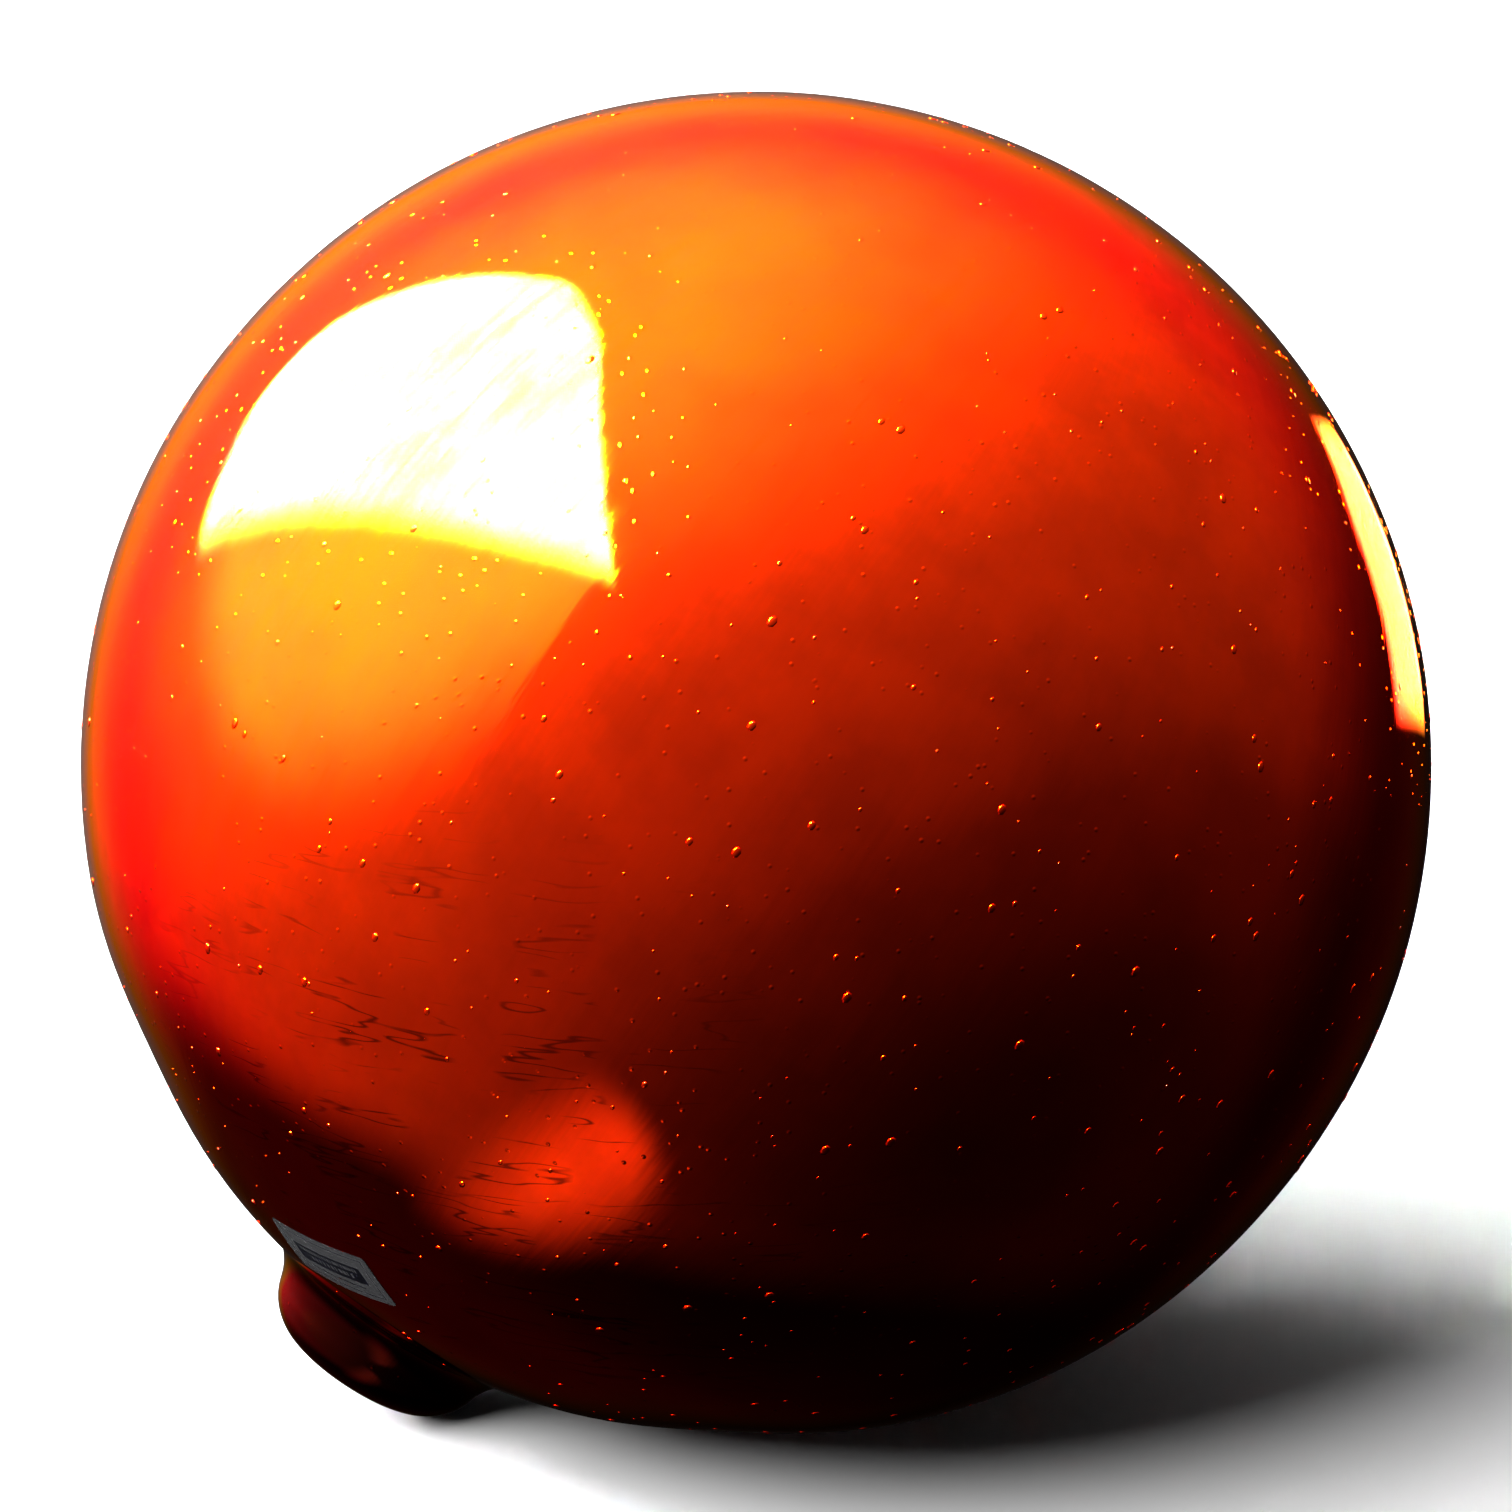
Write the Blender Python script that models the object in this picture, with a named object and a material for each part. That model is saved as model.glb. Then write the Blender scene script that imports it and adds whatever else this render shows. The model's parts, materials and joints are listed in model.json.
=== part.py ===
"""Blown glass gazing globe with a short rolled neck, lying on its side.

Two pieces: the hollow glass body with its open neck, and the foil label stuck on its shoulder. The globe
lies on a small flat on its belly and on the rim of its neck. Metres, +Z up, origin in the middle of the
belly's flat, neck toward -X and down.
"""

import math

import bmesh
import bpy
from mathutils import Matrix, Vector

# The ball
GLOBE_RADIUS = 0.150
GLASS_WALL = 0.003
BELLY_SAG = 0.0020  # how far the hot glass sank where it lay
BELLY_SAG_SPREAD = math.radians(26)
BELLY_FLAT_DEPTH = 0.0010  # ground off the belly, a flat some 4 cm across
SHOULDER_SAG = 0.0016  # flattened ring around the neck, which the belly lies on
SHOULDER_SAG_AT = math.radians(34)
SHOULDER_SAG_SPREAD = math.radians(9)

# The neck: a bead of glass turned around the axis, blended into the ball
NECK_REACH = 0.0028  # middle of the bead beyond the ball's surface
NECK_RING_RADIUS = 0.0129  # circle that the bead's middle runs on
NECK_BEAD_RADIUS = 0.0134
NECK_FILLET = 0.0155
NECK_RIM_FLAT_DEPTH = 0.0008  # ground off the rim where it touches down
NECK_OWN_FORM = (math.radians(8), math.radians(20))  # the belly's sag fades out here

# The label
LABEL_LENGTH = 0.0315
LABEL_WIDTH = 0.0167
LABEL_THICKNESS = 0.0003
LABEL_GAP = 0.0003
LABEL_FROM_NECK = math.radians(27)
LABEL_TURN = math.radians(-54)  # around the neck's axis, from its upper side
LABEL_SLANT = math.radians(-57)  # from the line that leads away from the neck

# How finely the round forms are divided
STEPS_AROUND = 48
BALL_STEPS_OUTSIDE = 26
BALL_STEPS_INSIDE = 20
FILLET_STEPS = 4
BEAD_STEPS = 8
LIP_STEPS = 4
LABEL_CELL = 0.0055

# What follows from the sizes above
BEAD_MIDDLE = GLOBE_RADIUS + NECK_REACH
REST_DEPTH = GLOBE_RADIUS - BELLY_SAG - SHOULDER_SAG - BELLY_FLAT_DEPTH
NECK_TILT = math.asin(
    (REST_DEPTH + NECK_RIM_FLAT_DEPTH - NECK_BEAD_RADIUS) / math.hypot(BEAD_MIDDLE, NECK_RING_RADIUS)
) - math.atan2(NECK_RING_RADIUS, BEAD_MIDDLE)

# In the globe's own frame the neck points along +Z
TURN_TO_REST = Matrix.Rotation(-math.pi / 2 - NECK_TILT, 3, "Y")
DOWN = TURN_TO_REST.inverted() @ Vector((0, 0, -1))


def bell(x, middle, spread):
    return math.exp(-(((x - middle) / spread) ** 2))


def smooth_step(x, low, high):
    share = min(max((x - low) / (high - low), 0), 1)
    return share * share * (3 - 2 * share)


def belly_sag(direction):
    """How far the surface lies inside the ball because the belly sank."""
    own_form = smooth_step(direction.angle(Vector((0, 0, 1))), *NECK_OWN_FORM)
    return BELLY_SAG * own_form * bell(direction.angle(DOWN), 0, BELLY_SAG_SPREAD)


def shoulder_sag(polar, shoulder_edge):
    """How far the surface lies inside the ball at this angle from the neck's axis."""
    fade = 1 - bell(polar, shoulder_edge, math.radians(4))
    return SHOULDER_SAG * fade * bell(polar, SHOULDER_SAG_AT, SHOULDER_SAG_SPREAD)


def neck_circles():
    """The fillet's middle, seen from the ball's, and the angle from the axis at which it leaves the ball."""
    to_bead = math.hypot(BEAD_MIDDLE, NECK_RING_RADIUS)
    from_ball = GLOBE_RADIUS + NECK_FILLET
    from_bead = NECK_BEAD_RADIUS + NECK_FILLET
    turn = math.acos((from_ball**2 + to_bead**2 - from_bead**2) / (2 * from_ball * to_bead))
    edge = math.atan2(NECK_RING_RADIUS, BEAD_MIDDLE) + turn
    return (from_ball * math.sin(edge), from_ball * math.cos(edge)), edge


def arc(middle, radius, start, end, steps):
    """Points on a circle, angles from the neck's axis, without the first one."""
    for i in range(1, steps + 1):
        angle = start + (end - start) * i / steps
        yield middle[0] + radius * math.sin(angle), middle[1] + radius * math.cos(angle)


def wall_profile(inset, ball_steps):
    """Half section of one side of the wall, from the far pole to the lip, as (out from axis, along axis)."""
    fillet, edge = neck_circles()
    bead = (NECK_RING_RADIUS, BEAD_MIDDLE)
    points = []
    for i in range(ball_steps + 1):
        polar = math.pi + (edge - math.pi) * i / ball_steps
        radius = GLOBE_RADIUS - inset - shoulder_sag(polar, edge)
        points.append((radius * math.sin(polar), radius * math.cos(polar)))
    points[0] = (0, points[0][1])
    to_bead = math.atan2(bead[0] - fillet[0], bead[1] - fillet[1])
    points += arc(fillet, NECK_FILLET + inset, edge - math.pi, to_bead, FILLET_STEPS)
    points += arc(bead, NECK_BEAD_RADIUS - inset, to_bead + math.pi, 0, BEAD_STEPS)
    return points


def glass_section():
    """The whole half section of the glass: outside, round lip, inside."""
    lip = (NECK_RING_RADIUS, BEAD_MIDDLE + NECK_BEAD_RADIUS - GLASS_WALL / 2)
    outside = wall_profile(0, BALL_STEPS_OUTSIDE)
    inside = wall_profile(GLASS_WALL, BALL_STEPS_INSIDE)
    rim = list(arc(lip, GLASS_WALL / 2, 0, -math.pi, LIP_STEPS))[:-1]
    return outside + rim + inside[::-1]


def plain_material(name, colour, roughness, metallic):
    material = bpy.data.materials.new(name)
    material.use_nodes = True
    shader = material.node_tree.nodes["Principled BSDF"]
    shader.inputs["Base Color"].default_value = (*colour, 1)
    shader.inputs["Roughness"].default_value = roughness
    shader.inputs["Metallic"].default_value = metallic
    return material


def add_object(name, mesh_builder, material, parent):
    mesh = bpy.data.meshes.new(name)
    bmesh.ops.recalc_face_normals(mesh_builder, faces=mesh_builder.faces)
    mesh_builder.to_mesh(mesh)
    mesh_builder.free()
    mesh.materials.append(material)
    mesh.shade_smooth()
    mesh.set_sharp_from_angle(angle=math.radians(40))
    piece = bpy.data.objects.new(name, mesh)
    bpy.context.collection.objects.link(piece)
    piece.parent = parent
    return piece


for old in list(bpy.data.objects):
    bpy.data.objects.remove(old, do_unlink=True)

globe_frame = bpy.data.objects.new("globe_frame", None)
bpy.context.collection.objects.link(globe_frame)
globe_frame.location = (0, 0, REST_DEPTH)
globe_frame.rotation_euler = TURN_TO_REST.to_euler()

# The glass body: the section is turned around the neck's axis, the belly sinks, and what would reach
# below the surface it lies on is ground flat
body = bmesh.new()
section = [body.verts.new((out, 0, along)) for out, along in glass_section()]
edges = [body.edges.new(pair) for pair in zip(section, section[1:])]
bmesh.ops.spin(
    body,
    geom=section + edges,
    cent=(0, 0, 0),
    axis=(0, 0, 1),
    angle=math.tau,
    steps=STEPS_AROUND,
    use_merge=True,
)
bmesh.ops.remove_doubles(body, verts=body.verts, dist=0.00002)
inner_limit = REST_DEPTH - GLASS_WALL
for vert in body.verts:
    direction = vert.co.normalized()
    inside_ball = vert.co.length < GLOBE_RADIUS - SHOULDER_SAG - GLASS_WALL / 4
    vert.co -= direction * belly_sag(direction)
    too_deep = vert.co.dot(DOWN) - inner_limit
    if inside_ball and too_deep > 0:
        vert.co -= DOWN * too_deep
bmesh.ops.bisect_plane(
    body,
    geom=body.verts[:] + body.edges[:] + body.faces[:],
    dist=0.00001,
    plane_co=DOWN * REST_DEPTH,
    plane_no=DOWN,
    clear_outer=True,
)
bmesh.ops.holes_fill(body, edges=[edge for edge in body.edges if edge.is_boundary])
mirror_glass = plain_material("silvered_orange_glass", (0.85, 0.10, 0.01), 0.03, 1.0)
add_object("glass_globe", body, mirror_glass, globe_frame)

# The foil label: a thin flat sheet wrapped onto the shoulder
sheet = bmesh.new()
bmesh.ops.create_grid(
    sheet,
    x_segments=round(LABEL_LENGTH / LABEL_CELL),
    y_segments=round(LABEL_WIDTH / LABEL_CELL),
    size=0.5,
)
bmesh.ops.scale(sheet, vec=(LABEL_LENGTH, LABEL_WIDTH, 1), verts=sheet.verts)
lifted = bmesh.ops.extrude_face_region(sheet, geom=sheet.faces[:])["geom"]
top = [item for item in lifted if isinstance(item, bmesh.types.BMVert)]
bmesh.ops.translate(sheet, vec=(0, 0, LABEL_THICKNESS), verts=top)
onto_shoulder = (
    Matrix.Rotation(LABEL_TURN, 3, "Z")
    @ Matrix.Rotation(LABEL_FROM_NECK, 3, "Y")
    @ Matrix.Rotation(LABEL_SLANT, 3, "Z")
)
shoulder_edge = neck_circles()[1]
for vert in sheet.verts:
    height = vert.co.z
    direction = (onto_shoulder @ Vector((vert.co.x, vert.co.y, GLOBE_RADIUS))).normalized()
    surface = GLOBE_RADIUS - belly_sag(direction)
    surface -= shoulder_sag(direction.angle(Vector((0, 0, 1))), shoulder_edge)
    vert.co = direction * (surface + LABEL_GAP + height)
foil = plain_material("label_foil", (0.55, 0.55, 0.56), 0.35, 0.9)
add_object("foil_label", sheet, foil, globe_frame)
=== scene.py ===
"""A mirrored glass garden globe lying on its side: blown ball, short rolled neck, foil label."""

import json
import math

import bmesh
import bpy
from mathutils import Matrix, Vector, noise

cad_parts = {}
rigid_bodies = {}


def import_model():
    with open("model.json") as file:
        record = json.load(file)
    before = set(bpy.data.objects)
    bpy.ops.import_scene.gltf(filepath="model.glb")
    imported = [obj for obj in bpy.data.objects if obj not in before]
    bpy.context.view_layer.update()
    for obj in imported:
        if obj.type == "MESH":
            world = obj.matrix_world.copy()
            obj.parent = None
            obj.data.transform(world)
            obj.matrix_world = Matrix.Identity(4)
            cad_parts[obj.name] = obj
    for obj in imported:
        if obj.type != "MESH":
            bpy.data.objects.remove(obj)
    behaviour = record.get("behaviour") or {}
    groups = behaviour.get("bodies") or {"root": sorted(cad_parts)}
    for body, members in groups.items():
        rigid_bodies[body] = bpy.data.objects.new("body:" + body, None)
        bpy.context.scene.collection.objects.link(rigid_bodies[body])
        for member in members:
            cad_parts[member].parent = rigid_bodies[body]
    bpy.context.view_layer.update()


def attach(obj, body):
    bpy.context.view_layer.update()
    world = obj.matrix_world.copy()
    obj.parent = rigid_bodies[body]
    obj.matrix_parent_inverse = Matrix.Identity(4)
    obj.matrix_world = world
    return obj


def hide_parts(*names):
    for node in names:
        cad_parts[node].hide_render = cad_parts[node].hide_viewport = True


for old in list(bpy.data.objects):
    bpy.data.objects.remove(old, do_unlink=True)

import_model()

# The glass body. One gather of soda-lime glass, blown into a ball and cracked off the pipe, which left a
# short neck with a rolled, fire-polished rim. The wall is 3 mm thick and silvered on the inside.
GLOBE_RADIUS = 0.150
GLASS_WALL = 0.003
BELLY_SAG = 0.0020
BELLY_SAG_SPREAD = math.radians(26)
BELLY_FLAT_DEPTH = 0.0010
SHOULDER_SAG = 0.0016
SHOULDER_SAG_AT = math.radians(34)
SHOULDER_SAG_SPREAD = math.radians(9)
SHOULDER_SAG_END = math.radians(4)  # the shoulder is round again this near to the neck's fillet
NECK_REACH = 0.0028
NECK_RING_RADIUS = 0.0129
NECK_BEAD_RADIUS = 0.0134
NECK_FILLET = 0.0155
NECK_RIM_FLAT_DEPTH = 0.0008
NECK_OWN_FORM = (math.radians(8), math.radians(20))
BEAD_MIDDLE = GLOBE_RADIUS + NECK_REACH
REST_DEPTH = GLOBE_RADIUS - BELLY_SAG - SHOULDER_SAG - BELLY_FLAT_DEPTH
NECK_TILT = math.asin(
    (REST_DEPTH + NECK_RIM_FLAT_DEPTH - NECK_BEAD_RADIUS) / math.hypot(BEAD_MIDDLE, NECK_RING_RADIUS)
) - math.atan2(NECK_RING_RADIUS, BEAD_MIDDLE)
TURN_TO_REST = Matrix.Rotation(-math.pi / 2 - NECK_TILT, 3, "Y")
DOWN = TURN_TO_REST.inverted() @ Vector((0, 0, -1))
NECK = Vector((0, 0, 1))
LABEL_LENGTH = 0.0315
LABEL_FROM_NECK = math.radians(27)
LABEL_TURN = math.radians(-54)
LABEL_SLANT = math.radians(-57)
onto_shoulder = (
    Matrix.Rotation(LABEL_TURN, 3, "Z")
    @ Matrix.Rotation(LABEL_FROM_NECK, 3, "Y")
    @ Matrix.Rotation(LABEL_SLANT, 3, "Z")
)
label_middle = onto_shoulder @ Vector((0, 0, GLOBE_RADIUS))
BLOWN_WAVE = 0.00022  # how far the blown wall wanders from a true round
BLOWN_WAVE_LENGTH = 0.060


def linear(hex_colour):
    """An sRGB hex colour as the linear values that a shader takes."""
    shares = [int(hex_colour[i : i + 2], 16) / 255 for i in (1, 3, 5)]
    return tuple(s / 12.92 if s <= 0.04045 else ((s + 0.055) / 1.055) ** 2.4 for s in shares) + (1.0,)


def port(sockets, key):
    """A node's socket by its place, its identifier or its name."""
    if isinstance(key, int):
        return sockets[key]
    same = [socket for socket in sockets if socket.identifier == key]
    return same[0] if same else sockets[key]


def add_node(tree, kind, inputs=None, **settings):
    """Adds a node with its settings, and sets or links its inputs; a node stands for its first output."""
    made = tree.nodes.new(kind)
    for name, value in settings.items():
        setattr(made, name, value)
    for key, value in (inputs or {}).items():
        if isinstance(value, bpy.types.Node):
            value = value.outputs[0]
        if isinstance(value, bpy.types.NodeSocket):
            tree.links.new(value, port(made.inputs, key))
        else:
            port(made.inputs, key).default_value = value
    return made


def bell(x, middle, spread):
    return math.exp(-(((x - middle) / spread) ** 2))


def belly_sag(direction):
    """How far the belly sank, in a direction from the ball's middle; the neck keeps its own form."""
    low, high = NECK_OWN_FORM
    share = min(max((direction.angle(NECK) - low) / (high - low), 0), 1)
    own_form = share * share * (3 - 2 * share)
    return BELLY_SAG * own_form * bell(direction.angle(DOWN), 0, BELLY_SAG_SPREAD)


def shoulder_sag(polar):
    """How far the ball is flattened around the shoulder, at this angle from the neck's axis."""
    fade = 1 - bell(polar, neck_edge, SHOULDER_SAG_END)
    return SHOULDER_SAG * fade * bell(polar, SHOULDER_SAG_AT, SHOULDER_SAG_SPREAD)


def form_radius(direction):
    """How far the ball's outer surface is from its middle."""
    return GLOBE_RADIUS - belly_sag(direction) - shoulder_sag(direction.angle(NECK))


def blown_wave(place):
    """The slow swell that breath and gravity leave in a hand-blown wall."""
    return BLOWN_WAVE * noise.noise(place / BLOWN_WAVE_LENGTH)


bead_from_ball = math.hypot(BEAD_MIDDLE, NECK_RING_RADIUS)
fillet_from_ball = GLOBE_RADIUS + NECK_FILLET
fillet_from_bead = NECK_BEAD_RADIUS + NECK_FILLET
neck_edge = math.atan2(NECK_RING_RADIUS, BEAD_MIDDLE) + math.acos(
    (fillet_from_ball**2 + bead_from_ball**2 - fillet_from_bead**2)
    / (2 * fillet_from_ball * bead_from_ball)
)
fillet_middle = (fillet_from_ball * math.sin(neck_edge), fillet_from_ball * math.cos(neck_edge))
fillet_to_bead = math.atan2(NECK_RING_RADIUS - fillet_middle[0], BEAD_MIDDLE - fillet_middle[1])


def arc(middle, radius, start, end, steps):
    """Points on a circle, angles from the neck's axis, without the first one."""
    for i in range(1, steps + 1):
        angle = start + (end - start) * i / steps
        yield middle[0] + radius * math.sin(angle), middle[1] + radius * math.cos(angle)


def wall_profile(inset, ball_steps, fillet_steps, bead_steps):
    """Half section of one side of the wall, from far pole to lip, as (out from axis, along axis)."""
    points = []
    for i in range(ball_steps + 1):
        polar = math.pi + (neck_edge - math.pi) * i / ball_steps
        radius = GLOBE_RADIUS - inset - shoulder_sag(polar)
        points.append((radius * math.sin(polar), radius * math.cos(polar)))
    points += arc(fillet_middle, NECK_FILLET + inset, neck_edge - math.pi, fillet_to_bead, fillet_steps)
    bead = (NECK_RING_RADIUS, BEAD_MIDDLE)
    points += arc(bead, NECK_BEAD_RADIUS - inset, fillet_to_bead + math.pi, 0, bead_steps)
    return points[1:]


# How finely the wall is divided: on the ball, the fillet and the bead, on the lip, and around the axis
OUTSIDE_STEPS = (110, 14, 26)
INSIDE_STEPS = (50, 6, 12)
LIP_STEPS = 10
STEPS_AROUND = 192
outside = wall_profile(0, *OUTSIDE_STEPS)
lip_middle = (NECK_RING_RADIUS, BEAD_MIDDLE + NECK_BEAD_RADIUS - GLASS_WALL / 2)
lip = list(arc(lip_middle, GLASS_WALL / 2, 0, -math.pi, LIP_STEPS))[:-1]
inside = wall_profile(GLASS_WALL, *INSIDE_STEPS)[::-1]
section = outside + lip + inside
turns = [math.tau * i / STEPS_AROUND for i in range(STEPS_AROUND)]
verts = [Vector((0, 0, -GLOBE_RADIUS))]
for out, along in section:
    verts += [Vector((out * math.cos(turn), out * math.sin(turn), along)) for turn in turns]
verts.append(Vector((0, 0, -GLOBE_RADIUS + GLASS_WALL)))
inner_start = 1 + (len(outside) + len(lip)) * STEPS_AROUND
placed = []
for index, vert in enumerate(verts):
    direction = vert.normalized()
    place = TURN_TO_REST @ (vert - direction * (belly_sag(direction) - blown_wave(vert)))
    place.z += REST_DEPTH
    inside_ball = index >= inner_start and direction.angle(NECK) > NECK_OWN_FORM[1]
    place.z = max(place.z, GLASS_WALL if inside_ball else 0.0)
    placed.append(place)
faces = []
inner_pole = len(placed) - 1
last_row = 1 + (len(section) - 1) * STEPS_AROUND
for j in range(STEPS_AROUND):
    k = (j + 1) % STEPS_AROUND
    faces.append((0, 1 + k, 1 + j))
    faces.append((inner_pole, last_row + j, last_row + k))
for i in range(len(section) - 1):
    row = 1 + i * STEPS_AROUND
    for j in range(STEPS_AROUND):
        k = (j + 1) % STEPS_AROUND
        faces.append((row + j, row + k, row + STEPS_AROUND + k, row + STEPS_AROUND + j))
globe_mesh = bpy.data.meshes.new("blown_globe")
globe_mesh.from_pydata([tuple(v) for v in placed], [], faces)
builder = bmesh.new()
builder.from_mesh(globe_mesh)
bmesh.ops.recalc_face_normals(builder, faces=builder.faces)
builder.to_mesh(globe_mesh)
builder.free()
globe_mesh.shade_smooth()
blown_globe = bpy.data.objects.new("blown_globe", globe_mesh)
bpy.context.collection.objects.link(blown_globe)

# Silvered orange glass, blown and fire-polished: a mirror behind 3 mm of coloured glass. The eye gets a
# sharp reflection that has crossed the colour twice, a faint clear gloss from the front face, slow mottling
# where the silver lies thinner, cords stretched along the axis, and hairlines where the silver has crazed.
silvered_glass = bpy.data.materials.new("silvered_orange_glass")
silvered_glass.use_nodes = True
tree = silvered_glass.node_tree
shader = tree.nodes["Principled BSDF"]
shader.inputs["Metallic"].default_value = 1.0
shader.inputs["Specular Tint"].default_value = linear("#FFAA3C")
shader.inputs["Coat Weight"].default_value = 0.022
shader.inputs["Coat Roughness"].default_value = 0.02
object_place = add_node(tree, "ShaderNodeTexCoord").outputs["Object"]
own_place = add_node(
    tree,
    "ShaderNodeMapping",
    {
        "Vector": object_place,
        "Location": (0, 0, REST_DEPTH),
        "Rotation": TURN_TO_REST.to_euler(),
    },
    vector_type="TEXTURE",
).outputs["Vector"]
# Cords: streaks of stretched glass that run from the neck to the far pole, some 7 mm apart at the ball's
# widest and with finer ones between
around = add_node(tree, "ShaderNodeVectorMath", {0: own_place, 1: (1.0, 1.0, 0.0)}, operation="MULTIPLY")
around_unit = add_node(tree, "ShaderNodeVectorMath", {0: around}, operation="NORMALIZE")
cord_place = add_node(
    tree,
    "ShaderNodeVectorMath",
    {0: own_place, 1: (0.0, 0.0, 1.2), 2: around_unit},
    operation="MULTIPLY_ADD",
)
cords = add_node(tree, "ShaderNodeTexNoise", {"Vector": cord_place, "Scale": 22.0, "Detail": 3.0})
# Colour: it drifts over about 9 cm between orange and red and is paler along the cords. Over that lies
# painted
# light and shade by height: redder low down and more orange towards the top, as the light falls on it
drift = add_node(tree, "ShaderNodeTexNoise", {"Vector": own_place, "Scale": 11.0, "Detail": 1.0})
streaked = add_node(tree, "ShaderNodeMath", {0: cords, 1: 0.3, 2: drift}, operation="MULTIPLY_ADD")
drift_share = add_node(
    tree, "ShaderNodeMapRange", {"Value": streaked, "From Min": 0.42, "From Max": 0.88}
)
own_height = add_node(tree, "ShaderNodeSeparateXYZ", {"Vector": object_place})
# Painted light and shade: a share that grows with height above the floor, from 6 to 26 cm
painted_height_light = add_node(
    tree,
    "ShaderNodeMapRange",
    {"Value": own_height.outputs["Z"], "From Min": 0.06, "From Max": 0.26},
    interpolation_type="SMOOTHSTEP",
)
low_colour = add_node(
    tree,
    "ShaderNodeMix",
    {"Factor_Float": drift_share, "A_Color": linear("#FF1E01"), "B_Color": linear("#FF2E01")},
    data_type="RGBA",
)
tint_and_painted_height_light = add_node(
    tree,
    "ShaderNodeMix",
    {"Factor_Float": painted_height_light, "A_Color": low_colour.outputs[2], "B_Color": linear("#FF3301")},
    data_type="RGBA",
)
# Mottling of the silver: clouds 2 cm across, broken up down to a millimetre
mottle = add_node(
    tree, "ShaderNodeTexNoise", {"Vector": own_place, "Scale": 45.0, "Detail": 4.0, "Roughness": 0.55}
)
mottle_share = add_node(
    tree,
    "ShaderNodeMapRange",
    {"Value": mottle, "From Min": 0.36, "From Max": 0.62, "To Min": 0.80, "To Max": 1.0},
)
mottled = add_node(
    tree,
    "ShaderNodeVectorMath",
    {"Vector": tint_and_painted_height_light.outputs[2], "Scale": mottle_share},
    operation="SCALE",
)
# Painted shade: the colour darkens to a near-black red within 3 cm of the neck
neck_distance = add_node(
    tree, "ShaderNodeVectorMath", {0: own_place, 1: (0.0, 0.0, BEAD_MIDDLE)}, operation="DISTANCE"
)
painted_neck_shade = add_node(
    tree,
    "ShaderNodeMapRange",
    {
        "Value": neck_distance.outputs["Value"],
        "From Min": 0.028,
        "From Max": 0.056,
        "To Min": 1.0,
        "To Max": 0.0,
    },
    interpolation_type="SMOOTHSTEP",
)
# The near-black red of the painted shade around the neck
colour_with_painted_neck_shade = add_node(
    tree,
    "ShaderNodeMix",
    {"Factor_Float": painted_neck_shade, "A_Color": mottled, "B_Color": linear("#380502")},
    data_type="RGBA",
)
# Crazed silvering: short level hairlines that break off and start again within a patch above the label.
# Real ones are a tenth of a millimetre wide; these are drawn two or three times as wide so that they show
broken_up = add_node(tree, "ShaderNodeTexNoise", {"Vector": own_place, "Scale": 60.0, "Detail": 2.0})
level_place = add_node(tree, "ShaderNodeMapping", {"Vector": object_place, "Scale": (26.0, 26.0, 200.0)})
level_grain = add_node(tree, "ShaderNodeTexNoise", {"Vector": level_place, "Scale": 1.0, "Detail": 2.0})
off_line = add_node(tree, "ShaderNodeMath", {0: level_grain, 1: 0.5}, operation="SUBTRACT")
off_line = add_node(tree, "ShaderNodeMath", {0: off_line}, operation="ABSOLUTE")
hairline = add_node(
    tree,
    "ShaderNodeMapRange",
    {"Value": off_line, "From Min": 0.004, "From Max": 0.018, "To Min": 1.0, "To Max": 0.0},
)
crazed_at = onto_shoulder @ Vector((0.060, 0.035, GLOBE_RADIUS))
crazed_distance = add_node(
    tree,
    "ShaderNodeVectorMath",
    {0: own_place, 1: tuple(crazed_at.normalized() * GLOBE_RADIUS)},
    operation="DISTANCE",
)
crazed_patch = add_node(
    tree,
    "ShaderNodeMapRange",
    {
        "Value": crazed_distance.outputs["Value"],
        "From Min": 0.045,
        "From Max": 0.095,
        "To Min": 0.7,
        "To Max": 0.0,
    },
)
patchy = add_node(tree, "ShaderNodeMapRange", {"Value": broken_up, "From Min": 0.47, "From Max": 0.57})
in_patch = add_node(tree, "ShaderNodeMath", {0: crazed_patch, 1: patchy}, operation="MULTIPLY")
crazed = add_node(tree, "ShaderNodeMath", {0: hairline, 1: in_patch}, operation="MULTIPLY")
finished = add_node(
    tree,
    "ShaderNodeMix",
    {"Factor_Float": crazed, "A_Color": colour_with_painted_neck_shade.outputs[2], "B_Color": linear("#2A0402")},
    data_type="RGBA",
)
tree.links.new(finished.outputs[2], shader.inputs["Base Color"])
# Gloss: fire-polished, a little duller where the silver is thin or crazed
dull = add_node(
    tree,
    "ShaderNodeMapRange",
    {"Value": mottle, "From Min": 0.36, "From Max": 0.62, "To Min": 0.05, "To Max": 0.012},
)
duller = add_node(tree, "ShaderNodeMath", {0: crazed, 1: 0.2, 2: dull}, operation="MULTIPLY_ADD")
tree.links.new(duller.outputs["Value"], shader.inputs["Roughness"])
# Cords lift the skin a few hundredths of a millimetre
out_from_axis = add_node(tree, "ShaderNodeVectorMath", {0: around}, operation="LENGTH")
cord_height = add_node(
    tree,
    "ShaderNodeMath",
    {0: cords, 1: out_from_axis.outputs["Value"]},
    operation="MULTIPLY",
)
cord_bump = add_node(
    tree, "ShaderNodeBump", {"Height": cord_height, "Strength": 1.0, "Distance": 0.0004}
)
# Fine seeds, about half a millimetre across and four apart, too small to model one by one
fine_cells = add_node(tree, "ShaderNodeTexVoronoi", {"Vector": own_place, "Scale": 260.0})
fine_seed = add_node(
    tree,
    "ShaderNodeMapRange",
    {"Value": fine_cells, "From Min": 0.0, "From Max": 0.16, "To Min": 1.0, "To Max": 0.0},
    interpolation_type="SMOOTHSTEP",
)
fine_bump = add_node(
    tree,
    "ShaderNodeBump",
    {
        "Height": fine_seed,
        "Strength": 1.0,
        "Distance": 0.00008,
        "Normal": cord_bump,
    },
)
tree.links.new(fine_bump.outputs["Normal"], shader.inputs["Normal"])

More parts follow.
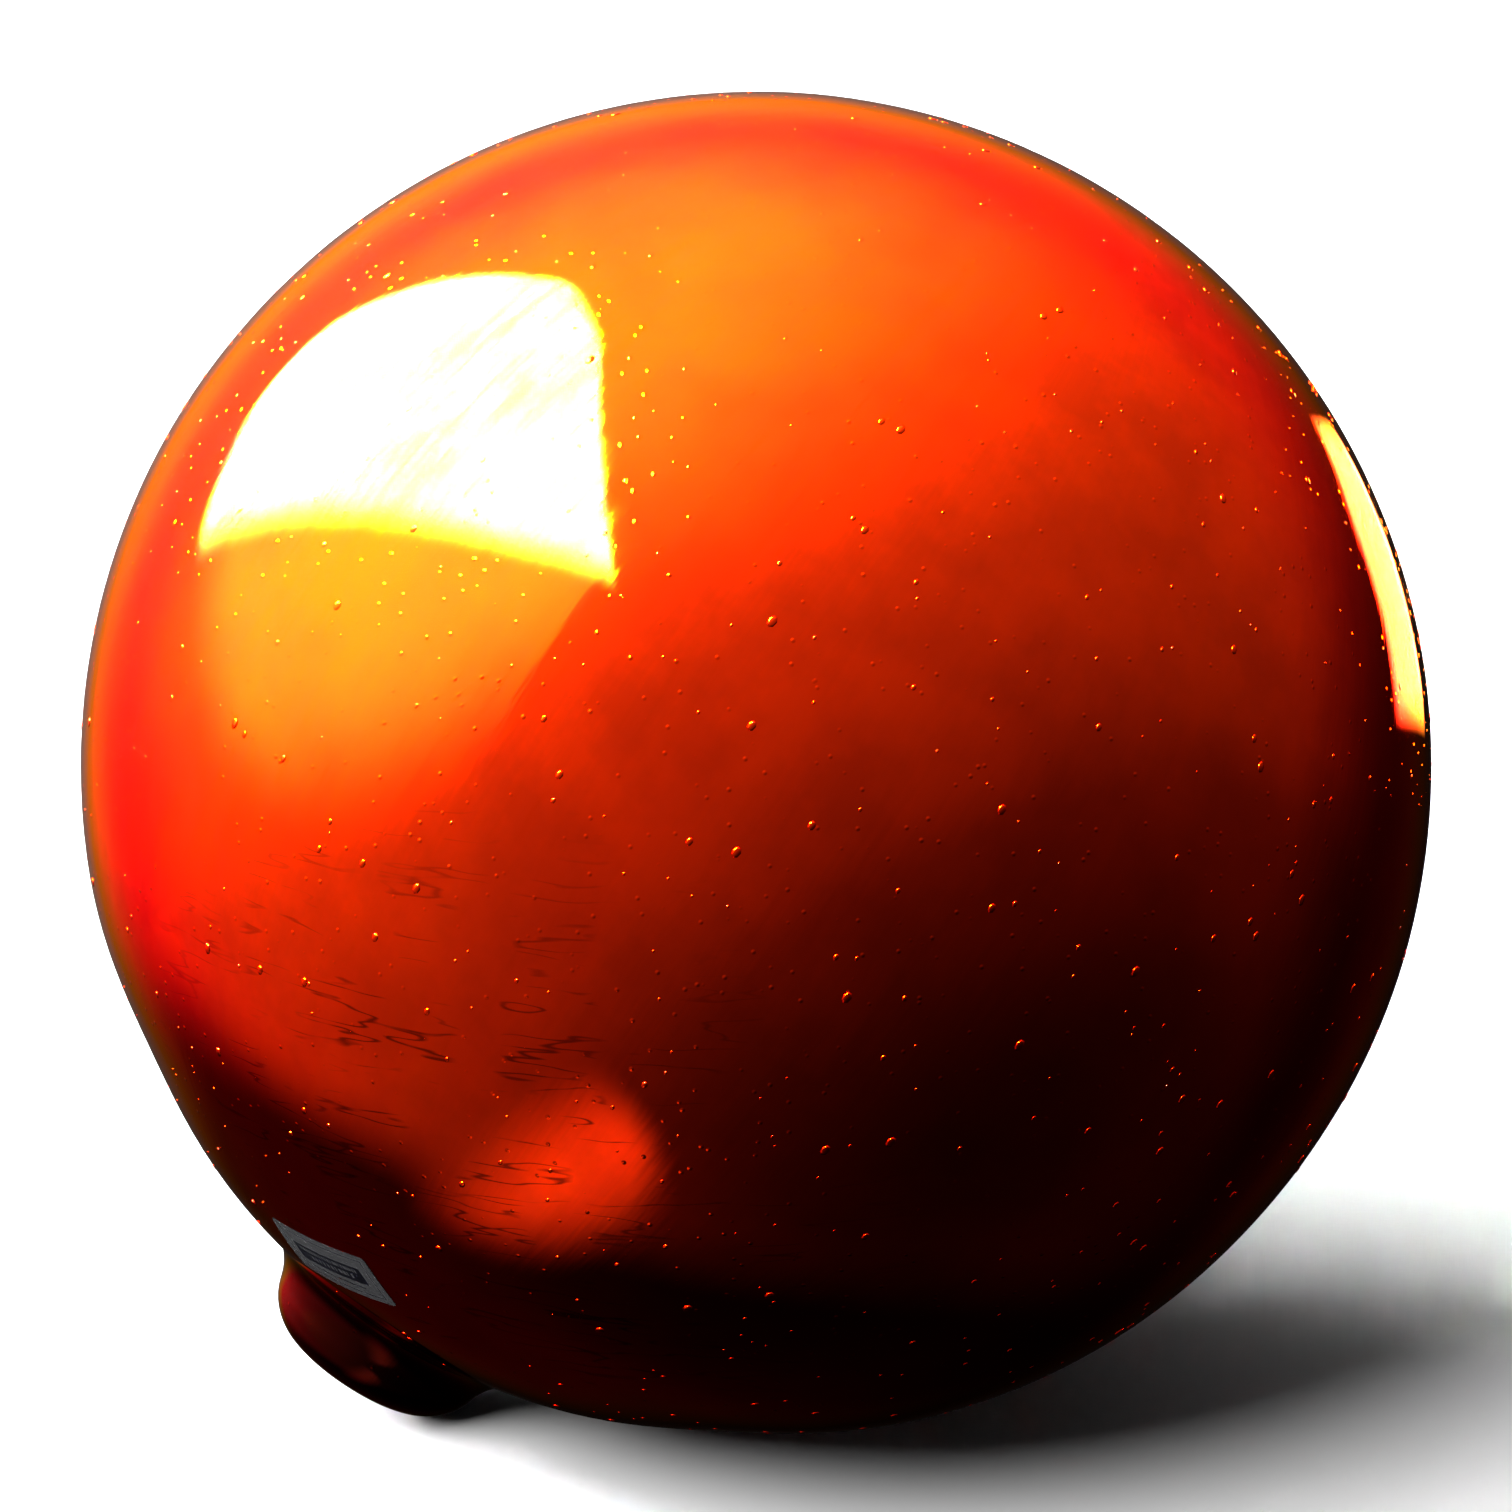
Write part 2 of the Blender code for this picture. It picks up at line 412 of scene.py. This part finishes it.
# Bare silver on the inside of the wall: a soft grey metal coat, poured in and drained through the neck, so
# it is mottled and rather dull, with clouds 14 mm across.
silver_backing = bpy.data.materials.new("poured_silver_backing")
silver_backing.use_nodes = True
tree = silver_backing.node_tree
shader = tree.nodes["Principled BSDF"]
shader.inputs["Metallic"].default_value = 1.0
inside_place = add_node(tree, "ShaderNodeTexCoord").outputs["Object"]
drained = add_node(tree, "ShaderNodeTexNoise", {"Vector": inside_place, "Scale": 70.0, "Detail": 5.0})
backing_colour = add_node(
    tree,
    "ShaderNodeMix",
    {"Factor_Float": drained, "A_Color": linear("#6E625A"), "B_Color": linear("#B9B0A4")},
    data_type="RGBA",
)
tree.links.new(backing_colour.outputs[2], shader.inputs["Base Color"])
backing_gloss = add_node(tree, "ShaderNodeMapRange", {"Value": drained, "To Min": 0.28, "To Max": 0.5})
tree.links.new(backing_gloss.outputs["Result"], shader.inputs["Roughness"])

globe_mesh.materials.append(silvered_glass)
globe_mesh.materials.append(silver_backing)
first_inner_face = 2 * STEPS_AROUND + (len(outside) + len(lip) - 1) * STEPS_AROUND
for face in globe_mesh.polygons:
    beyond_lip = face.index >= first_inner_face or face.vertices[0] == inner_pole
    face.material_index = 1 if beyond_lip else 0
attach(blown_globe, "root")
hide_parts("glass_globe")

# Seeds: bubbles that were caught in the gather and flattened as the ball grew. Those near the skin lift it
# into low blisters, mostly a millimetre long and a few nearly three, drawn out along the neck's axis. Nearly
# half of them are on the inside of the wall.
SEED_SIZE = (0.0017, 0.0012, 0.00024)
SEED_GROWTH = (0.45, 1.6)  # the smallest and the largest, as shares of that size
SEEDS_PER_SQUARE_METRE = 5200.0
SEEDS_FROM_NECK = 0.06  # radians beyond the neck's fillet
SEEDS_FROM_LABEL = LABEL_LENGTH * 0.62
SEEDS_FROM_FLOOR = 0.0015
SAG_SPARE = 0.0006  # below the outside at its deepest sag, which takes in most of the inside too


def seed_share(place):
    """Where seeds may lie: on both sides of the wall, off the neck, the label and the ground spots."""
    own = TURN_TO_REST.inverted() @ (place - Vector((0, 0, REST_DEPTH)))
    on_wall = own.length > GLOBE_RADIUS - BELLY_SAG - SHOULDER_SAG - SAG_SPARE
    off_neck = own.angle(NECK) > neck_edge + SEEDS_FROM_NECK
    off_label = (own.normalized() * GLOBE_RADIUS - label_middle).length > SEEDS_FROM_LABEL
    return float(on_wall and off_neck and off_label and place.z > SEEDS_FROM_FLOOR)


seed_ground = globe_mesh.copy()
share_of_seeds = seed_ground.attributes.new("seed_share", "FLOAT", "POINT")
for vert in seed_ground.vertices:
    share_of_seeds.data[vert.index].value = seed_share(vert.co)
seed_tree = bpy.data.node_groups.new("scatter_seeds", "GeometryNodeTree")
sockets = seed_tree.interface
sockets.new_socket("Ground", in_out="INPUT", socket_type="NodeSocketGeometry")
per_area = sockets.new_socket("Seeds per square metre", in_out="INPUT", socket_type="NodeSocketFloat")
seed_size = sockets.new_socket("Seed size", in_out="INPUT", socket_type="NodeSocketVector")
draw_axis = sockets.new_socket("Drawn out along", in_out="INPUT", socket_type="NodeSocketVector")
sockets.new_socket("Seeds", in_out="OUTPUT", socket_type="NodeSocketGeometry")
given = add_node(seed_tree, "NodeGroupInput")
where = add_node(seed_tree, "GeometryNodeInputNamedAttribute", {"Name": "seed_share"}, data_type="FLOAT")
density = add_node(
    seed_tree,
    "ShaderNodeMath",
    {0: given.outputs["Seeds per square metre"], 1: where.outputs["Attribute"]},
    operation="MULTIPLY",
)
scatter = add_node(
    seed_tree,
    "GeometryNodeDistributePointsOnFaces",
    {"Mesh": given.outputs["Ground"], "Density": density, "Seed": 11},
)
lie = add_node(
    seed_tree,
    "FunctionNodeAxesToRotation",
    {"Primary Axis": scatter.outputs["Normal"], "Secondary Axis": given.outputs["Drawn out along"]},
    primary_axis="Z",
    secondary_axis="X",
)
luck = add_node(seed_tree, "FunctionNodeRandomValue", {"Seed": 5}, data_type="FLOAT")
mostly_small = add_node(seed_tree, "ShaderNodeMath", {0: luck.outputs[1], 1: 3.0}, operation="POWER")
grown = add_node(
    seed_tree,
    "ShaderNodeMapRange",
    {"Value": mostly_small, "To Min": SEED_GROWTH[0], "To Max": SEED_GROWTH[1]},
)
blister = add_node(seed_tree, "GeometryNodeMeshUVSphere", {"Segments": 7, "Rings": 4, "Radius": 0.5})
shaped = add_node(
    seed_tree,
    "GeometryNodeTransform",
    {"Geometry": blister, "Scale": given.outputs["Seed size"]},
)
rounded = add_node(seed_tree, "GeometryNodeSetShadeSmooth", {"Geometry": shaped})
seeded = add_node(
    seed_tree,
    "GeometryNodeInstanceOnPoints",
    {
        "Points": scatter.outputs["Points"],
        "Instance": rounded,
        "Rotation": lie,
        "Scale": grown,
    },
)
realized = add_node(seed_tree, "GeometryNodeRealizeInstances", {"Geometry": seeded})
clad = add_node(
    seed_tree, "GeometryNodeSetMaterial", {"Geometry": realized, "Material": silvered_glass}
)
add_node(seed_tree, "NodeGroupOutput", {"Seeds": clad})
seed_maker = bpy.data.objects.new("seed_maker", seed_ground)
bpy.context.collection.objects.link(seed_maker)
scattering = seed_maker.modifiers.new("scatter_seeds", "NODES")
scattering.node_group = seed_tree
scattering[per_area.identifier] = SEEDS_PER_SQUARE_METRE
scattering[seed_size.identifier] = SEED_SIZE
scattering[draw_axis.identifier] = tuple(TURN_TO_REST @ NECK)
evaluated = seed_maker.evaluated_get(bpy.context.evaluated_depsgraph_get())
seed_mesh = bpy.data.meshes.new_from_object(evaluated)
bpy.data.objects.remove(seed_maker)
bpy.data.meshes.remove(seed_ground)
seed_mesh.name = "glass_seeds"
glass_seeds = bpy.data.objects.new("glass_seeds", seed_mesh)
bpy.context.collection.objects.link(glass_seeds)
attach(glass_seeds, "root")

# The label: a small oblong of silver foil paper, printed dark and stuck on the shoulder beside the neck. It
# follows the glass, with rounded corners and the faint crinkle of foil pressed onto a round form.
LABEL_WIDTH = 0.0167
LABEL_THICKNESS = 0.00008
LABEL_GAP = 0.00002
LABEL_CORNER = 0.0012
LABEL_CELL = 0.0005
CRINKLE_HEIGHT = 0.00002
CRINKLE_LENGTH = 0.0022
label_builder = bmesh.new()
bmesh.ops.create_grid(
    label_builder,
    x_segments=round(LABEL_LENGTH / LABEL_CELL),
    y_segments=round(LABEL_WIDTH / LABEL_CELL),
    size=0.5,
)
bmesh.ops.scale(label_builder, vec=(LABEL_LENGTH, LABEL_WIDTH, 1), verts=label_builder.verts)
for vert in label_builder.verts:
    corner_x = abs(vert.co.x) - (LABEL_LENGTH / 2 - LABEL_CORNER)
    corner_y = abs(vert.co.y) - (LABEL_WIDTH / 2 - LABEL_CORNER)
    if corner_x > 0 and corner_y > 0:
        pull = 1 - max(corner_x, corner_y) / math.hypot(corner_x, corner_y)
        vert.co.x -= math.copysign(corner_x * pull, vert.co.x)
        vert.co.y -= math.copysign(corner_y * pull, vert.co.y)
lifted = bmesh.ops.extrude_face_region(label_builder, geom=label_builder.faces[:])["geom"]
label_top = [item for item in lifted if isinstance(item, bmesh.types.BMVert)]
bmesh.ops.translate(label_builder, vec=(0, 0, LABEL_THICKNESS), verts=label_top)
bmesh.ops.recalc_face_normals(label_builder, faces=label_builder.faces)
label_uv = label_builder.loops.layers.uv.new("label_face")
for face in label_builder.faces:
    face.material_index = 1 if abs(face.normal.z) < 0.5 else 0
    for loop in face.loops:
        loop[label_uv].uv = (loop.vert.co.x / LABEL_LENGTH + 0.5, loop.vert.co.y / LABEL_WIDTH + 0.5)
for vert in label_builder.verts:
    height = vert.co.z
    crinkle = CRINKLE_HEIGHT * (1 + noise.noise(Vector((vert.co.x, vert.co.y, 0)) / CRINKLE_LENGTH))
    direction = (onto_shoulder @ Vector((vert.co.x, vert.co.y, GLOBE_RADIUS))).normalized()
    glass = form_radius(direction) + blown_wave(direction * form_radius(direction))
    spot = TURN_TO_REST @ (direction * (glass + LABEL_GAP + crinkle + height))
    vert.co = spot + Vector((0, 0, REST_DEPTH))
label_mesh = bpy.data.meshes.new("foil_label_face")
label_builder.to_mesh(label_mesh)
label_builder.free()
label_mesh.shade_smooth()
label_mesh.set_sharp_from_angle(angle=math.radians(40))
shoulder_label = bpy.data.objects.new("shoulder_label", label_mesh)
bpy.context.collection.objects.link(shoulder_label)

# Printed foil: rolled aluminium on paper, which looks silver and softly shiny, under dull black ink: an
# outline, a dark block with two rows of strokes left bare in it, and one row below. None is a letter.
printed_foil = bpy.data.materials.new("printed_aluminium_foil")
printed_foil.use_nodes = True
tree = printed_foil.node_tree
shader = tree.nodes["Principled BSDF"]
shader.inputs["Specular IOR Level"].default_value = 0.06  # dull ink
face_place = add_node(tree, "ShaderNodeUVMap", uv_map="label_face").outputs["UV"]
from_middle = add_node(
    tree, "ShaderNodeVectorMath", {0: face_place, 1: (-0.5, -0.5, 0.0)}, operation="ADD"
)
label_place = add_node(
    tree,
    "ShaderNodeVectorMath",
    {0: from_middle, 1: (LABEL_LENGTH * 1000, LABEL_WIDTH * 1000, 0.0)},
    operation="MULTIPLY",
)
mm = add_node(tree, "ShaderNodeSeparateXYZ", {"Vector": label_place})
across = add_node(tree, "ShaderNodeMath", {0: mm.outputs["X"]}, operation="ABSOLUTE")
upward = add_node(tree, "ShaderNodeMath", {0: mm.outputs["Y"]}, operation="ABSOLUTE")


def band(value, low, high):
    """One where a value in millimetres is between two limits, with a soft edge a tenth wide."""
    above = add_node(
        tree, "ShaderNodeMapRange", {"Value": value, "From Min": low - 0.05, "From Max": low + 0.05}
    )
    below = add_node(
        tree,
        "ShaderNodeMapRange",
        {"Value": value, "From Min": high - 0.05, "From Max": high + 0.05, "To Min": 1.0, "To Max": 0.0},
    )
    return add_node(tree, "ShaderNodeMath", {0: above, 1: below}, operation="MULTIPLY")


def strokes(low, high, spacing, share, reach):
    """A row of plain upright strokes between two heights, in millimetres, as far out as the reach."""
    step = add_node(tree, "ShaderNodeMath", {0: mm.outputs["X"], 1: spacing}, operation="DIVIDE")
    part = add_node(tree, "ShaderNodeMath", {0: step}, operation="FRACT")
    whole = add_node(tree, "ShaderNodeMath", {0: step}, operation="FLOOR")
    luck = add_node(tree, "ShaderNodeTexWhiteNoise", {"W": whole}, noise_dimensions="1D")
    width = add_node(tree, "ShaderNodeMath", {0: luck, 1: share, 2: 0.55 * share}, operation="MULTIPLY_ADD")
    printed = add_node(tree, "ShaderNodeMath", {0: part, 1: width}, operation="LESS_THAN")
    row = band(mm.outputs["Y"], low, high)
    row = add_node(tree, "ShaderNodeMath", {0: row, 1: band(across, -1.0, reach)}, operation="MULTIPLY")
    return add_node(tree, "ShaderNodeMath", {0: printed, 1: row}, operation="MULTIPLY")


def outline(reach_x, reach_y, width):
    """A printed oblong line around the label's middle, in millimetres."""
    outer_x, outer_y = reach_x + width, reach_y + width
    in_x, in_y = band(across, -1.0, outer_x), band(upward, -1.0, outer_y)
    ends, sides = band(across, reach_x, outer_x), band(upward, reach_y, outer_y)
    ends = add_node(tree, "ShaderNodeMath", {0: ends, 1: in_y}, operation="MULTIPLY")
    sides = add_node(tree, "ShaderNodeMath", {0: sides, 1: in_x}, operation="MULTIPLY")
    return add_node(tree, "ShaderNodeMath", {0: ends, 1: sides}, operation="MAXIMUM")


block = band(mm.outputs["Y"], -2.6, 3.3)
block = add_node(tree, "ShaderNodeMath", {0: block, 1: band(across, -1.0, 11.2)}, operation="MULTIPLY")
knocked_out = add_node(
    tree,
    "ShaderNodeMath",
    {0: strokes(1.2, 2.3, 0.9, 0.5, 9.4), 1: strokes(-1.2, 0.1, 1.3, 0.5, 7.2)},
    operation="MAXIMUM",
)
ink = add_node(tree, "ShaderNodeMath", {0: block, 1: knocked_out}, operation="SUBTRACT")
for printed in (outline(13.4, 6.3, 0.4), strokes(-4.7, -3.9, 0.7, 0.6, 9.0)):
    ink = add_node(tree, "ShaderNodeMath", {0: ink, 1: printed}, operation="MAXIMUM")
rolled = add_node(tree, "ShaderNodeTexNoise", {"Vector": label_place, "Scale": 0.8, "Detail": 4.0})
foil_colour = add_node(
    tree,
    "ShaderNodeMix",
    {"Factor_Float": rolled, "A_Color": linear("#7C7D84"), "B_Color": linear("#B4B4B6")},
    data_type="RGBA",
)
print_colour = add_node(
    tree,
    "ShaderNodeMix",
    {"Factor_Float": ink, "A_Color": foil_colour.outputs[2], "B_Color": linear("#0A0A10")},
    data_type="RGBA",
)
tree.links.new(print_colour.outputs[2], shader.inputs["Base Color"])
metal_share = add_node(tree, "ShaderNodeMapRange", {"Value": ink, "To Min": 0.92, "To Max": 0.02})
tree.links.new(metal_share.outputs["Result"], shader.inputs["Metallic"])
foil_gloss = add_node(tree, "ShaderNodeMapRange", {"Value": ink, "To Min": 0.27, "To Max": 0.4})
tree.links.new(foil_gloss.outputs["Result"], shader.inputs["Roughness"])
crinkled = add_node(tree, "ShaderNodeBump", {"Height": rolled, "Strength": 0.6, "Distance": 0.0002})
tree.links.new(crinkled.outputs["Normal"], shader.inputs["Normal"])

# The label's cut edge: uncoated paper under the foil, grey and quite dull, so it shows as a thin dark line.
cut_paper = bpy.data.materials.new("cut_label_paper")
cut_paper.use_nodes = True
shader = cut_paper.node_tree.nodes["Principled BSDF"]
shader.inputs["Base Color"].default_value = linear("#2B2A2C")
shader.inputs["Roughness"].default_value = 0.9
shader.inputs["Specular IOR Level"].default_value = 0.0
label_mesh.materials.append(printed_foil)
label_mesh.materials.append(cut_paper)
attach(shoulder_label, "root")
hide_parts("foil_label")

# A plain pale floor under the globe, in matt paint whose slight sheen lightens the shadow's far side.
bpy.ops.mesh.primitive_plane_add(size=40, location=(0, 0, 0))
floor = bpy.context.object
floor.name = "studio_floor"
floor.visible_glossy = False
floor_paint = bpy.data.materials.new("pale_floor_paint")
floor_paint.use_nodes = True
shader = floor_paint.node_tree.nodes["Principled BSDF"]
shader.inputs["Base Color"].default_value = linear("#E6E6E6")
shader.inputs["Roughness"].default_value = 0.9
shader.inputs["Specular IOR Level"].default_value = 0.3
floor.data.materials.append(floor_paint)

# Camera: a little above the globe, a metre away, turned slightly toward the side that the neck is on.
CAMERA_RISE = math.radians(17)
CAMERA_TURN = math.radians(15)
CAMERA_DISTANCE = 7.0 * GLOBE_RADIUS
IMAGE_PIXELS = 1512
GLOBE_PIXELS = 675.9  # the ball's radius in the image
LOWERED_PIXELS = 10.7  # how far below the middle of the image the ball's middle is
SENSOR_WIDTH = 36
globe_middle = Vector((0, 0, REST_DEPTH))
to_camera = Vector((
    -math.sin(CAMERA_TURN) * math.cos(CAMERA_RISE),
    -math.cos(CAMERA_TURN) * math.cos(CAMERA_RISE),
    math.sin(CAMERA_RISE),
))
camera_up = Vector((
    math.sin(CAMERA_TURN) * math.sin(CAMERA_RISE),
    math.cos(CAMERA_TURN) * math.sin(CAMERA_RISE),
    math.cos(CAMERA_RISE),
))
camera_right = camera_up.cross(to_camera)
focal_pixels = GLOBE_PIXELS * math.sqrt(CAMERA_DISTANCE**2 - GLOBE_RADIUS**2) / GLOBE_RADIUS
camera_data = bpy.data.cameras.new("camera")
camera_data.sensor_width = SENSOR_WIDTH
camera_data.lens = SENSOR_WIDTH * focal_pixels / IMAGE_PIXELS
camera_data.clip_start = 0.05
camera_data.clip_end = 60
camera = bpy.data.objects.new("camera", camera_data)
bpy.context.collection.objects.link(camera)
camera.location = globe_middle + to_camera * CAMERA_DISTANCE
aim = globe_middle + camera_up * (LOWERED_PIXELS * CAMERA_DISTANCE / focal_pixels)
aim_back = (camera.location - aim).normalized()
aim_right = camera_up.cross(aim_back).normalized()
aim_up = aim_back.cross(aim_right)
camera.rotation_euler = Matrix((aim_right, aim_up, aim_back)).transposed().to_euler()
bpy.context.scene.camera = camera

# Soft studio light. The floor gets one broad key light and a very weak even dome. The mirror shows a dome
# that falls off from the upper left to a dark ground, with a white softbox over the left shoulder, a dimmer
# one below it, a strip behind the right side and a weak fill low on the left.
DOME_STRENGTH = 11.0
EVEN_DOME = 0.015
SHOULDER_RADIANCE = 800.0
LOWER_RADIANCE = 9.0
STRIP_RADIANCE = 45.0
FILL_RADIANCE = 1.05
KEY_STRENGTH = 7.4
KEY_BREADTH = math.radians(50)
KEY_FROM = Vector((-1.4, -0.50, 1.5))
# How bright the dome is, from its far lower side to its near upper one
DOME_FALL = (
    (0.0, 0.0003),
    (0.1, 0.002),
    (0.22, 0.009),
    (0.28, 0.015),
    (0.4, 0.032),
    (0.5, 0.045),
    (0.575, 0.058),
    (0.65, 0.085),
    (0.72, 0.14),
    (0.78, 0.25),
    (0.86, 0.48),
    (0.93, 0.85),
    (1.0, 1.0),
)


def seen(sideways, upward, nearer):
    """A way as the camera sees it: to its right, up, and toward it."""
    return (camera_right * sideways + camera_up * upward + to_camera * nearer).normalized()


world = bpy.data.worlds.new("studio_dome")
bpy.context.scene.world = world
world.use_nodes = True
tree = world.node_tree
tree.nodes.clear()
way = add_node(tree, "ShaderNodeTexCoord").outputs["Generated"]


def facing(direction, low, high, at_low, at_high, smooth="SMOOTHSTEP"):
    """A value that changes with how nearly the way points along a direction."""
    along = add_node(tree, "ShaderNodeVectorMath", {0: way, 1: direction}, operation="DOT_PRODUCT")
    limits = {
        "Value": along.outputs["Value"],
        "From Min": low,
        "From Max": high,
        "To Min": at_low,
        "To Max": at_high,
    }
    return add_node(tree, "ShaderNodeMapRange", limits, interpolation_type=smooth)


def panel(corners, soft_edges, fade, radiance):
    """A flat-sided softbox in the dome, by the ways of its corners; the fade firms up its soft edges."""
    middle = sum(corners, Vector()).normalized()
    share = 1.0
    for first, second, soft in zip(corners, corners[1:] + corners[:1], soft_edges):
        inward = first.cross(second).normalized()
        inward *= math.copysign(1, inward.dot(middle))
        within = facing(inward, 0.0, soft, 0.0, 1.0)
        share = add_node(tree, "ShaderNodeMath", {0: share, 1: within}, operation="MULTIPLY")
    faded = add_node(tree, "ShaderNodeMath", {0: share, 1: fade}, operation="POWER")
    return add_node(tree, "ShaderNodeMath", {0: faded, 1: radiance}, operation="MULTIPLY")


share_along = facing(seen(-0.52, 0.84, -0.12), -1.0, 1.0, 0.0, 1.0, "LINEAR")
fall = add_node(tree, "ShaderNodeValToRGB", {"Fac": share_along})
fall.color_ramp.interpolation = "B_SPLINE"
for spot, value in DOME_FALL[2:]:
    fall.color_ramp.elements.new(spot)
for element, (spot, value) in zip(fall.color_ramp.elements, DOME_FALL):
    element.position = spot
    element.color = (value, value, value, 1)
dark_ground = facing(seen(-0.2, -0.75, -0.62), 0.65, 0.86, DOME_STRENGTH, 0.06 * DOME_STRENGTH)
dark_back = facing(seen(0.55, -0.25, -0.80), 0.62, 0.96, 1.0, 0.07)
least_behind = facing(seen(-0.5, 0.85, 0.0), -0.06, 0.10, 0.03, 0.20)
dark_behind = facing(seen(0.0, 0.0, -1.0), 0.80, 0.995, 1.0, least_behind)
dome_light = fall
for darker in (dark_ground, dark_back, dark_behind):
    dome_light = add_node(tree, "ShaderNodeMath", {0: dome_light, 1: darker}, operation="MULTIPLY")
shoulder_softbox = panel(
    [
        seen(-0.636, 0.460, -0.619),
        seen(-0.560, 0.589, -0.583),
        seen(-0.322, 0.944, -0.068),
        seen(-0.308, 0.937, 0.162),
        seen(-0.355, 0.421, 0.836),
        seen(-0.846, 0.246, -0.474),
    ],
    (0.06, 0.05, 0.05, 0.03, 0.15, 0.08),
    3.6,
    SHOULDER_RADIANCE,
)
lower_softbox = panel(
    [
        seen(-0.820, 0.300, -0.490),
        seen(-0.360, 0.540, 0.760),
        seen(-0.690, -0.009, 0.724),
        seen(-0.886, -0.219, 0.408),
        seen(-0.984, -0.135, -0.113),
    ],
    (0.02, 0.05, 0.45, 0.40, 0.25),
    1.0,
    LOWER_RADIANCE,
)
edge_strip = panel(
    [
        seen(0.329, 0.200, -0.919),
        seen(0.500, 0.320, -0.800),
        seen(0.640, 0.260, -0.720),
        seen(0.700, 0.040, -0.712),
        seen(0.395, 0.015, -0.919),
    ],
    (0.04, 0.04, 0.06, 0.05, 0.05),
    1.0,
    STRIP_RADIANCE,
)
low_fill = panel(
    [
        seen(-0.710, -0.704, -0.007),
        seen(-0.393, -0.685, 0.613),
        seen(-0.183, -0.869, 0.459),
        seen(-0.139, -0.986, 0.091),
        seen(-0.339, -0.903, -0.265),
        seen(-0.475, -0.671, -0.569),
    ],
    (0.3, 0.16, 0.14, 0.26, 0.35, 0.4),
    1.0,
    FILL_RADIANCE,
)
mirror_light = dome_light
for source in (shoulder_softbox, lower_softbox, edge_strip, low_fill):
    mirror_light = add_node(tree, "ShaderNodeMath", {0: mirror_light, 1: source}, operation="ADD")
ray = add_node(tree, "ShaderNodeLightPath")
pale_light = add_node(
    tree, "ShaderNodeMapRange", {"Value": ray.outputs["Is Camera Ray"], "To Min": EVEN_DOME, "To Max": 1.0}
)
mirror_dome = add_node(tree, "ShaderNodeBackground", {"Color": (1, 1, 1, 1), "Strength": mirror_light})
pale_dome = add_node(tree, "ShaderNodeBackground", {"Color": (1, 1, 1, 1), "Strength": pale_light})
both = add_node(
    tree,
    "ShaderNodeMixShader",
    {"Fac": ray.outputs["Is Glossy Ray"], 1: pale_dome, 2: mirror_dome},
)
add_node(tree, "ShaderNodeOutputWorld", {"Surface": both})

key_data = bpy.data.lights.new("key_light", "SUN")
key_data.energy = KEY_STRENGTH
key_data.angle = KEY_BREADTH
key_light = bpy.data.objects.new("key_light", key_data)
bpy.context.collection.objects.link(key_light)
key_light.rotation_euler = KEY_FROM.to_track_quat("Z", "Y").to_euler()
key_light.visible_glossy = False

bpy.context.scene.view_settings.view_transform = "Standard"
bpy.context.scene.cycles.caustics_reflective = False
